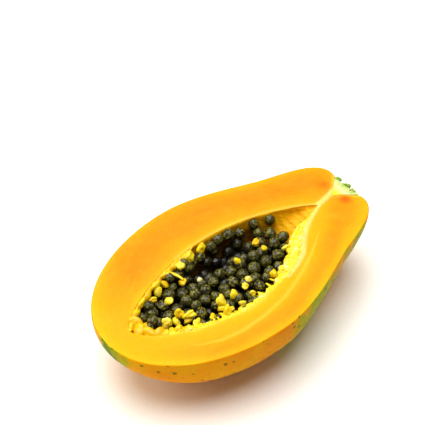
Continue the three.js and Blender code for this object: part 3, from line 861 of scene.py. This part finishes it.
def pile_top(x, y):
    """-1.6 mm, less a Gaussian hollow along the far wall."""
    along = (x - HOLLOW_PLACE[0]) / HOLLOW_SPREAD[0]
    across = (y - HOLLOW_PLACE[1]) / HOLLOW_SPREAD[1]
    return -1.6 - HOLLOW_DEPTH * np.exp(-(along**2) - across**2)


def room_in_cavity(x, y, z, radius):
    """True where a ball stays inside the cavity's superellipse, |y - m|^q / h^q + |z|^q / D^q < 1."""
    far = np.interp(x, far_mouth[:, 0], far_mouth[:, 1])
    near = np.interp(x, near_mouth[:, 0], near_mouth[:, 1])
    half = np.maximum((far - near) / 2 - radius, 0.01)
    deep = np.maximum(cavity_depth(x) - radius, 0.01)
    across = np.abs(y - (far + near) / 2) / half
    return across**CAVITY_POWER + np.abs(z / deep) ** CAVITY_POWER < 1


def throw(count, drop, sizes, closeness, random, allowed):
    """Balls (x, y, z, radius) at random spots, drop below the pile's top, kept closeness radii apart."""
    kept = []
    for x, y, size, dip in random.uniform((16, -26, 0, 0), (113, 20, 1, 1), (count, 4)):
        radius = sizes[0] + (sizes[1] - sizes[0]) * size
        z = pile_top(x, y) - radius - drop - 2.2 * dip
        if not allowed(x, y) or not room_in_cavity(x, y, z, radius * 0.85):
            continue
        others = np.array(placed)
        gap = np.linalg.norm(others[:, :3] - (x, y, z), axis=1) - closeness * (others[:, 3] + radius)
        if gap.min() > 0:
            placed.append((x, y, z, radius))
            kept.append((x, y, z, radius))
    return kept


def near_edge_at(x):
    """The y of the mouth's near edge at x."""
    return np.interp(x, near_mouth[:, 0], near_mouth[:, 1])


def off_shelf(x, y):
    """Seeds leave the tip and the near ledge bare, which widens from x = 84 to x = 100."""
    return 25 < x < 112 and y > near_edge_at(x) + 3.0 + 8.0 * smoothstep(84, 100, x)


print("the hollow's bottom is at", round(float(pile_top(*HOLLOW_PLACE)), 1), "mm")

# %% The rest of the pile
CLOSENESS = 0.93  # pressed seeds come this share of their radii close to each other
# Each layer: how far below the top it lies, its smallest and its largest radius.
LAYERS = ((0.4, (2.7, 3.3)), (0.8, (2.3, 2.7)), (4.6, (2.8, 3.3)), (9.0, (2.9, 3.4)))
TRIES = 3500
# The highest seeds lie against the far wall, and two have rolled up the neck: x, y, z and radius in mm.
FAR_SEEDS = [
    (113.0, 10.6, -3.7, 2.7), (105.0, 13.8, -3.0, 2.6), (96.6, 14.6, -3.9, 2.6), (90.6, 16.3, -2.1, 2.9),
    (84.5, 16.8, -2.2, 2.9), (79.4, 16.6, -2.8, 2.8), (62.4, 17.2, -2.7, 2.6), (51.6, 14.9, -2.6, 2.7),
    (31.9, 8.2, -2.9, 2.7), (26.9, -0.6, -2.5, 2.8), (72.0, 16.0, -4.6, 2.8), (67.5, 17.0, -5.2, 2.8)]
random = np.random.default_rng(23)
lower = list(FAR_SEEDS)
placed += FAR_SEEDS
for drop, sizes in LAYERS:
    lower += throw(TRIES, drop, sizes, CLOSENESS, random, off_shelf)
parts = []
lower_directions, lower_faces = ball(16, 22)
for number, (x, y, z, radius) in enumerate(lower):
    half = radius * np.array([1, 0.94, 0.94]) * random.uniform(0.95, 1.05, 3)
    shape, fold = seed_shape(np.array([x, y, z]), half, 500 + number, lower_directions)
    # Painted shade: seeds lower in the pile are darker still.
    top = smoothstep(-11, -5, z) * lit_from_above(lower_directions)
    fields = {"fold": fold, "sac": MOST_SAC * random.uniform(0, 1), "top": top}
    parts.append((shape, lower_faces, fields))
pile = clump("papaya_seed_pile", parts)
pile.data.materials.append(seed_coat)
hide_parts("lower_seeds")
print(len(lower), "more seeds in the pile,", len(pile.data.polygons), "faces")

# %% [markdown]
# ## Pale ovules, pulp and the crumbly lip
# Some ovules never filled. They stay soft, flat and lemon yellow. The same soft tissue lines the cavity:
# it tears into crumbs along the near lip, and short threads of it still tie seeds to the wall. All of it
# is the egg again with slower, stronger waves, so that it looks torn and not grown round.

# %% The finish of the pale tissue
# Soft wet tissue full of air: the eye gets lemon to cream with a glow, and small sharp glints.
TISSUE = [(0.0, "#C68403"), (0.3, "#D6A606"), (0.6, "#DDC309"), (0.85, "#DECC38"), (1.0, "#D9D091")]
tissue, tree, shader = new_material("soft_pale_placenta")
place = add(tree, "TexCoord")["Object"]
pale = add(tree, "Attribute", attribute_name="pale")["Fac"]
grain = add(tree, "TexNoise", {"Vector": place, "Scale": 520.0, "Detail": 4.0})["Fac"]
shade = add(tree, "Math", {0: grain, 1: 0.8, 2: pale}, operation="MULTIPLY_ADD")[0]
shade = add(tree, "Math", {0: shade, 1: 0.4}, operation="SUBTRACT")[0]
colour = add(tree, "ValToRGB", {"Fac": shade}, ramp=TISSUE)["Color"]
tree.links.new(colour, shader.inputs["Base Color"])
gloss = add(tree, "MapRange", {"Value": grain, "To Min": 0.22, "To Max": 0.5})
tree.links.new(gloss[0], shader.inputs["Roughness"])
shader.inputs["IOR"].default_value = 1.38
shader.inputs["Subsurface Weight"].default_value = 0.3
shader.inputs["Subsurface Radius"].default_value = (1.0, 0.7, 0.15)
shader.inputs["Subsurface Scale"].default_value = 1.5 * MM
bump = add(tree, "Bump", {"Height": grain, "Strength": 0.6, "Distance": 0.4 * MM})
tree.links.new(bump[0], shader.inputs["Normal"])
print("pale tissue finish", len(tree.nodes), "nodes")

# %% [markdown]
# An ovule is a flattened egg. One function pulls an egg out of round, and the crumbs, bits and knobs below
# use it too, each with its own number for the random waves, so no shape is drawn twice.

# %% Ovules
def soft_shape(centre, half, seed_number, directions, roughness=1.0):
    """An egg pulled about by slow waves: 1 + 0.16 wave(1.5) + 0.06 wave(0.6), turned its own way."""
    random = np.random.default_rng(seed_number)
    turn = random_turn(random)
    pull = 0.16 * ripple(directions, 1.5, seed_number) + 0.06 * ripple(directions, 0.6, seed_number + 3)
    radius = 1 + roughness * pull
    return centre + (directions * radius[:, None] * half) @ turn.T


OVULE_SHAPE = np.array([1.28, 0.98, 0.72])  # long, wide and flat against a ball
ovule_directions, ovule_faces = ball(18, 26)
for number, node in enumerate(ovule_nodes):
    middle, half = node_ball(node)
    shape = soft_shape(middle, half.mean() * OVULE_SHAPE, 900 + number, ovule_directions)
    pale = 0.55 + 0.25 * ovule_directions[:, 2]
    piece = clump("papaya_" + node, [(shape, ovule_faces, {"pale": pale})])
    piece.data.materials.append(tissue)
    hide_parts(node)
print(len(ovule_nodes), "pale ovules")

# %% [markdown]
# Along the near lip the placenta was sliced through and stands up as a torn roll, and a thinner ridge of
# it runs along the far lip. Modelled as separate crumbs they would look like beads on a string, so each is
# one tube that follows the mouth, with its surface torn by folded waves. Loose crumbs are then strewn in
# front of it.

# %% A tube with rounded ends
def tube(path, across, over, width, thickness, sides):
    """Rings of w cos b along across and h sin b along over about a path, closed by a point at each end."""
    b = np.linspace(0, 2 * math.pi, sides, endpoint=False)[:, None]
    rings = path[:, None] + across[:, None] * width[:, None, None] * np.cos(b)
    rings = rings + over[:, None] * thickness[:, None, None] * np.sin(b)
    k, after = np.arange(sides), (np.arange(sides) + 1) % sides
    last = (len(path) - 1) * sides
    first_end, last_end = np.full(sides, last + sides), np.full(sides, last + sides + 1)
    points = np.concatenate([rings.reshape(-1, 3), path[:1], path[-1:]])
    faces = ring_faces(len(path), sides).tolist()
    faces += np.stack([after, k, first_end], 1).tolist()
    faces += np.stack([last + k, last + after, last_end], 1).tolist()
    return points, faces


def unit_steps(line):
    """The direction of travel at each point of a line, with length 1."""
    along = np.gradient(line, axis=0)
    return along / np.linalg.norm(along, axis=1, keepdims=True)


def fade_in_out(count, first, last):
    """Square root of smoothstep(0, first, k) smoothstep(count - 1, last, k): a tube's round ends."""
    k = np.arange(count)
    return np.sqrt(smoothstep(0, first, k) * smoothstep(count - 1, last, k))


print("a tube of 3 rings of 8 has", len(ring_faces(3, 8)) + 16, "faces")

# %% Pulp along the near lip
LIP_RINGS, LIP_SIDES = 420, 40
lip_line = even_steps(near_mouth[(near_mouth[:, 0] > 20) & (near_mouth[:, 0] < 127)], LIP_RINGS)
x = lip_line[:, 0]
along = unit_steps(lip_line)
inward = np.stack([-along[:, 1], along[:, 0], 0 * x], 1)
shelf = smoothstep(86, 97, x) * smoothstep(126, 112, x)
ends = fade_in_out(LIP_RINGS, 9, 400)
width = ends * (1.9 + 1.2 * smoothstep(54, 36, x) + 0.5 * ripple(x[:, None], 6, 71) + 2.6 * shelf)
thickness = ends * (2.4 + 0.3 * ripple(x[:, None], 5, 72))
level = -0.35 - thickness - 0.4 * shelf
path = np.concatenate([lip_line, level[:, None]], 1) + inward * (0.5 * width)[:, None]
roll, roll_faces = tube(path, inward, np.tile(UPWARD, (LIP_RINGS, 1)), width, thickness, LIP_SIDES)
middle = np.concatenate([np.repeat(path, LIP_SIDES, 0), path[:1], path[-1:]])
outward = roll - middle
outward /= np.maximum(np.linalg.norm(outward, axis=1, keepdims=True), 1e-6)
print("near lip at most", round(2 * float(width.max()), 1), "mm wide")

# %% The near lip's torn surface
# Towards the stalk the pulp is a fine fuzz, and towards the tip it is torn into crumbs.
fine = smoothstep(88, 98, roll[:, 0])
fuzz = 0.16 * fine * np.abs(ripple(roll * (0.5, 1, 1), 0.8, 82, waves=9))
crumbly = 0.45 * np.abs(ripple(roll, 2.6, 73)) + 0.28 * np.abs(ripple(roll, 1.1, 74))
crumbly += 0.10 * ripple(roll, 0.5, 75)
torn = fuzz + (1 - 0.75 * fine) * crumbly
roll = roll + outward * (torn - 0.25)[:, None]
roll[:, 2] = np.minimum(roll[:, 2], 0.15)
pale = 0.55 + 0.25 * smoothstep(50, 75, roll[:, 0]) - 0.08 * smoothstep(92, 106, roll[:, 0])
# The last term darkens the roll lower down: painted shade.
pale += 0.16 * ripple(roll, 4.0, 76) + 0.04 * roll[:, 2]
pale += 0.25 * smoothstep(86, 98, roll[:, 0]) * ripple(roll * (0.6, 1, 1), 1.3, 83)
lip_parts = [(roll, roll_faces, {"pale": pale})]
print("near lip", len(roll_faces), "faces")

# %% The far ridge, the tip's pulp and the crumbs
RIDGE_RINGS, RIDGE_SIDES = 200, 24
# The lumps of pulp at the tip: x, y, z and size in mm.
TIP_PULP = [(17.6, -1.0, -3.4, 3.6), (20.5, -6.0, -3.6, 4.0), (19.5, 3.6, -3.8, 3.4),
            (23.5, -9.6, -3.4, 3.4), (22.0, -2.0, -5.2, 3.6)]
CRUMBS = 120
ridge_line = even_steps(far_mouth[far_mouth[:, 0] < 72], RIDGE_RINGS)
along = unit_steps(ridge_line)
inward = np.stack([along[:, 1], -along[:, 0], 0 * along[:, 0]], 1)
width = fade_in_out(RIDGE_RINGS, 9, 170) * (1.5 + 0.4 * ripple(ridge_line[:, :1], 9, 77))
path = np.concatenate([ridge_line, -0.15 - 1.3 * width[:, None]], 1) + inward * (0.45 * width)[:, None]
downward = np.tile(-UPWARD, (RIDGE_RINGS, 1))
ridge, ridge_faces = tube(path, inward, downward, width, 1.3 * width, RIDGE_SIDES)
ridge += 0.22 * np.stack([ripple(ridge, 2.4, seed) for seed in (78, 79, 80)], 1)
ridge[:, 2] = np.minimum(ridge[:, 2], 0.1)
lip_parts.append((ridge, ridge_faces, {"pale": 0.38 + 0.15 * ripple(ridge, 5.0, 81)}))
for number, (x, y, z, size) in enumerate(TIP_PULP):
    half = size * np.array([1.5, 1.3, 0.8])
    shape = soft_shape(np.array([x, y, z]), half, 2900 + number, ovule_directions, 0.25)
    # Lower down each lump is darker: painted shade.
    lip_parts.append((shape, ovule_faces, {"pale": 0.34 + 0.05 * shape[:, 2] / size}))
random = np.random.default_rng(31)
crumb_directions, crumb_faces = ball(10, 14)
for number, (x, inside, down, size) in enumerate(random.uniform((22, 0, 0, 0), (104, 1, 1, 1), (CRUMBS, 4))):
    radius = 0.7 + 1.1 * size**2
    reach = 1.2 + 3.2 * inside
    centre = np.array([x, near_edge_at(x) + reach, -0.9 - radius * 0.6 - 2.2 * down - 0.35 * reach])
    shape = soft_shape(centre, radius * random.uniform(0.75, 1.35, 3), 2000 + number, crumb_directions, 1.4)
    # Crumbs lying deeper are darker: painted shade.
    lip_parts.append((shape, crumb_faces, {"pale": random.uniform(0.45, 1.0) - 0.2 * down}))
lip_pulp = clump("papaya_lip_pulp", lip_parts)
lip_pulp.data.materials.append(tissue)
print("lip pulp", len(lip_pulp.data.polygons), "faces")

# %% [markdown]
# Between the seeds lie smaller ovules and shreds. The ones that catch the eye are placed one by one on top
# of the pile, and a few more are thrown among the near seeds in the same way as the seeds were.

# %% Small ovules and bits between the seeds
def among_seeds(x, y):
    """More of them on the near side and towards the stalk end of the pile."""
    return off_shelf(x, y) and (y < -15 or (x > 98 and y < 2))


# The bits that lie on top: x, y, z and radius in mm.
BITS = [
    (40.7, 3.6, -2.6, 1.9), (38.9, -5.8, -1.6, 2.3), (42.0, -9.6, -1.7, 2.3), (31.0, -6.4, -1.6, 2.3),
    (41.4, -15.9, -1.7, 2.1), (59.2, -13.9, -1.3, 2.5), (56.9, -20.4, -1.4, 2.3), (74.5, -13.7, -2.2, 1.9),
    (66.9, -14.1, -2.6, 2.0), (82.7, 1.0, -2.6, 1.6), (96.7, 2.9, -1.7, 1.8), (78.6, -11.6, -2.2, 1.7),
    (74.2, 17.8, -1.7, 2.3), (66.6, 17.2, -1.2, 2.5), (59.5, 16.8, -1.7, 2.2), (105.9, -8.7, -2.2, 1.5),
    (31.2, -14.0, -1.6, 2.4), (26.2, -11.4, -1.5, 2.1), (36.0, -17.5, -1.5, 2.2), (89.5, -17.6, -1.4, 1.9),
    (94.0, -19.6, -1.2, 1.7)]
WHITE_BEAD = (60.5, 3.3, -1.4, 1.25)
random = np.random.default_rng(37)
bits = BITS + throw(120, -0.3, (1.2, 1.8), 0.84, random, among_seeds)
parts = []
for number, (x, y, z, radius) in enumerate(bits):
    half = radius * np.array([1.25, 0.95, 0.8]) * random.uniform(0.85, 1.15, 3)
    shape = soft_shape(np.array([x, y, z]), half, 4000 + number, ovule_directions, 1.3)
    parts.append((shape, ovule_faces, {"pale": random.uniform(0.42, 0.85)}))
bead = soft_shape(np.array(WHITE_BEAD[:3]), WHITE_BEAD[3] * np.ones(3), 4999, ovule_directions, 0.6)
parts.append((bead, ovule_faces, {"pale": 1.6}))
bits_piece = clump("papaya_small_ovules", parts)
bits_piece.data.materials.append(tissue)
print(len(bits), "small ovules and one white bead")

# %% [markdown]
# Short stalks still tie some seeds to the wall. A curve with a bevel would do, but its ends would be cut
# square, so each thread is a tapered tube along a quadratic curve that narrows at both ends.

# %% Threads that tie seeds to the wall
THREADS = 9


def thread(start, bend, end, width, steps=12, sides=8):
    """A flat tapered tube along (1-t)^2 s + 2(1-t)t b + t^2 e, width (1 - 0.55 t), closed at its ends."""
    t = np.linspace(0, 1, steps)[:, None]
    path = (1 - t) ** 2 * start + 2 * (1 - t) * t * bend + t**2 * end
    along = unit_steps(path)
    across = np.cross(along, (0.1, 0.2, 1.0))
    across /= np.linalg.norm(across, axis=1, keepdims=True)
    over = 0.6 * np.cross(along, across)
    b = np.linspace(0, 2 * math.pi, sides, endpoint=False)[:, None]
    reach = (width * (1 - 0.55 * t) * np.sqrt(np.clip(1 - (2 * t - 1) ** 8, 0, 1)))[:, :, None]
    rings = path[:, None] + reach * (across[:, None] * np.cos(b) + over[:, None] * np.sin(b))
    last = (steps - 3) * sides
    faces = ring_faces(steps - 2, sides).tolist()
    faces += [list(range(sides))[::-1], [last + k for k in range(sides)]]
    return rings[1:-1].reshape(-1, 3), faces


random = np.random.default_rng(41)
parts = []
for x, down, swing, width in random.uniform((34, 0, -1, 0), (92, 1, 1, 1), (THREADS, 4)):
    start = np.array([x, near_edge_at(x) + 1.0, -1.6 - 2.0 * down])
    end = start + np.array([3.0 * swing, 5.0 + 2.0 * width, -0.6])
    bend = (start + end) / 2 + np.array([1.5 * swing, 0, 1.4])
    strand, faces = thread(start, bend, end, 0.6 + 0.5 * width)
    parts.append((strand, faces, {"pale": random.uniform(0.35, 0.85)}))
# One broad curl crosses from the far lip.
curl_ends = np.array([[49.5, 17.4, -0.9], [54.5, 15.5, -0.6], [55.0, 8.2, -2.0]])
curl, faces = thread(*curl_ends, 1.3, 24, 12)
parts.append((curl, faces, {"pale": 0.6}))
threads = clump("papaya_threads", parts)
threads.data.materials.append(tissue)
print(len(parts), "threads")

# %% [markdown]
# ## The stalk's scar
# Where the stalk broke off, its woody root is left in the neck, cut through with the fruit. On the cut it
# is a pale green fan of fibres, and its torn mouth stands up in green knobs. It is a half cone whose loops
# of points run round the back and over the cut, with the knobs as torn eggs along its mouth.

# %% The scar's finish
# Dry torn fibre: the eye gets cream at its root, fresh green at its torn edge, and a matt stringy surface.
SCAR_COLOURS = [(0.0, "#DBBE14"), (0.25, "#D5CC5E"), (0.5, "#C6CC8B"), (0.75, "#8BA831"), (1.0, "#648D17")]
scar, tree, shader = new_material("torn_green_stalk_fibre")
place = add(tree, "TexCoord")["Object"]
green = add(tree, "Attribute", attribute_name="green")["Fac"]
stretched = add(tree, "Mapping", {"Vector": place, "Scale": (0.25, 1.0, 1.0)})[0]
fibres = add(tree, "TexNoise", {"Vector": stretched, "Scale": 1700.0, "Detail": 4.0})["Fac"]
shade = add(tree, "Math", {0: fibres, 1: 0.7, 2: green}, operation="MULTIPLY_ADD")[0]
shade = add(tree, "Math", {0: shade, 1: 0.35}, operation="SUBTRACT")[0]
colour = add(tree, "ValToRGB", {"Fac": shade}, ramp=SCAR_COLOURS)["Color"]
tree.links.new(colour, shader.inputs["Base Color"])
shader.inputs["Roughness"].default_value = 0.6
shader.inputs["IOR"].default_value = 1.45
shader.inputs["Subsurface Weight"].default_value = 0.15
shader.inputs["Subsurface Radius"].default_value = (0.8, 1.0, 0.3)
shader.inputs["Subsurface Scale"].default_value = 1 * MM
bump = add(tree, "Bump", {"Height": fibres, "Strength": 0.7, "Distance": 0.4 * MM})
tree.links.new(bump[0], shader.inputs["Normal"])
print("scar finish", len(tree.nodes), "nodes")

# %% [markdown]
# The body comes first, as rings of points from the root to the mouth: a half circle at the back and a
# ribbed flat strip on the cut. The last ring is torn out of line, and a smaller ring inside it makes the
# mouth a cup.

# %% The scar's half cone
SCAR_ROOT = 144.6
SCAR_MOUTH = STALK_X + 0.5
SCAR_RADIUS = 8.3
ROOT_RADIUS = 0.7
BACK_SHARE = 0.95  # the back is a little flatter than a half circle
RINGS, BACK_STEPS, TOP_STEPS = 30, 40, 28
t = np.linspace(0, 1, RINGS)[:, None]
station = SCAR_ROOT + (SCAR_MOUTH - SCAR_ROOT) * t
radius = ROOT_RADIUS + (SCAR_RADIUS - ROOT_RADIUS) * t**1.35
b = np.linspace(0, math.pi, BACK_STEPS)
arc = np.stack([station + 0 * b, radius * np.cos(b), -radius * np.sin(b) * BACK_SHARE], -1)
c = np.linspace(-1, 1, TOP_STEPS)[1:-1]
flat = np.stack([station + 0 * c, radius * c, 0 * station + 0 * c], -1)
flat[..., 2] = 0.05 + 0.16 * np.abs(ripple(flat[..., :2] * (0.4, 1), 0.9, 51)) * (1 - c**4)
loops = np.concatenate([arc, flat], 1)
torn = ripple(loops[-1, :, 1:], 1.6, 52) * 0.55 + ripple(loops[-1, :, 1:], 0.7, 53) * 0.2
loops[-1, :, 0] += torn
loops[-2, :, 0] += 0.5 * torn
around = loops.shape[1]
middle = np.array([[STALK_X - 0.6, 0, -2.6]])
inner = middle + (loops[-1] - middle) * 0.8 - np.array([1.1, 0, 0])
body = np.concatenate([loops.reshape(-1, 3), inner, middle, loops[0].mean(0, keepdims=True)])
faces = ring_faces(RINGS + 1, around).tolist()
k, after = np.arange(around), (np.arange(around) + 1) % around
last, centre = RINGS * around, (RINGS + 1) * around
faces += np.stack([last + k, last + after, np.full(around, centre)], 1).tolist()
faces += np.stack([after, k, np.full(around, centre + 1)], 1).tolist()
faces = [face[::-1] for face in faces]
green = np.interp(body[:, 0], [144, 147, 149.5, 152, 154.6], [-0.25, -0.02, 0.36, 0.6, 0.74])
scar_parts = [(body, faces, {"green": green})]
print("scar body", len(faces), "faces")

# %% The knobs on its mouth
BACK_KNOBS, CUT_KNOBS = 26, 14
random = np.random.default_rng(61)
knob_directions, knob_faces = ball(12, 16)
for number, (spread, out, size) in enumerate(random.uniform((0, 0, 0), (1, 1, 1), (BACK_KNOBS, 3))):
    angle = math.pi * (number + 0.2 + 0.6 * spread) / BACK_KNOBS
    radius = 0.6 + 0.6 * size
    reach = SCAR_RADIUS - radius - 1.6 * out**2
    height = -reach * BACK_SHARE * math.sin(angle)
    centre = np.array([SCAR_MOUTH + 0.9 * out * size, reach * math.cos(angle), height])
    half = radius * random.uniform(0.75, 1.2, 3)
    shape = soft_shape(centre, half, 5000 + number, knob_directions, 1.5)
    shape[:, 2] = np.minimum(shape[:, 2], 0.5)
    scar_parts.append((shape, knob_faces, {"green": random.uniform(0.45, 0.9)}))
for number, (across, size) in enumerate(random.uniform((-1, 0), (1, 1), (CUT_KNOBS, 2))):
    radius = 0.5 + 0.55 * size
    centre = np.array([STALK_X + 0.7 + 0.9 * size, (SCAR_RADIUS - 0.8) * across, -0.5])
    half = radius * random.uniform(0.7, 1.25, 3)
    shape = soft_shape(centre, half, 6000 + number, knob_directions, 1.5)
    scar_parts.append((shape, knob_faces, {"green": random.uniform(0.45, 0.95)}))
scar_piece = clump("papaya_stalk_scar", scar_parts)
scar_piece.data.materials.append(scar)
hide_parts("stalk_stub")
print("scar", len(scar_piece.data.polygons), "faces")
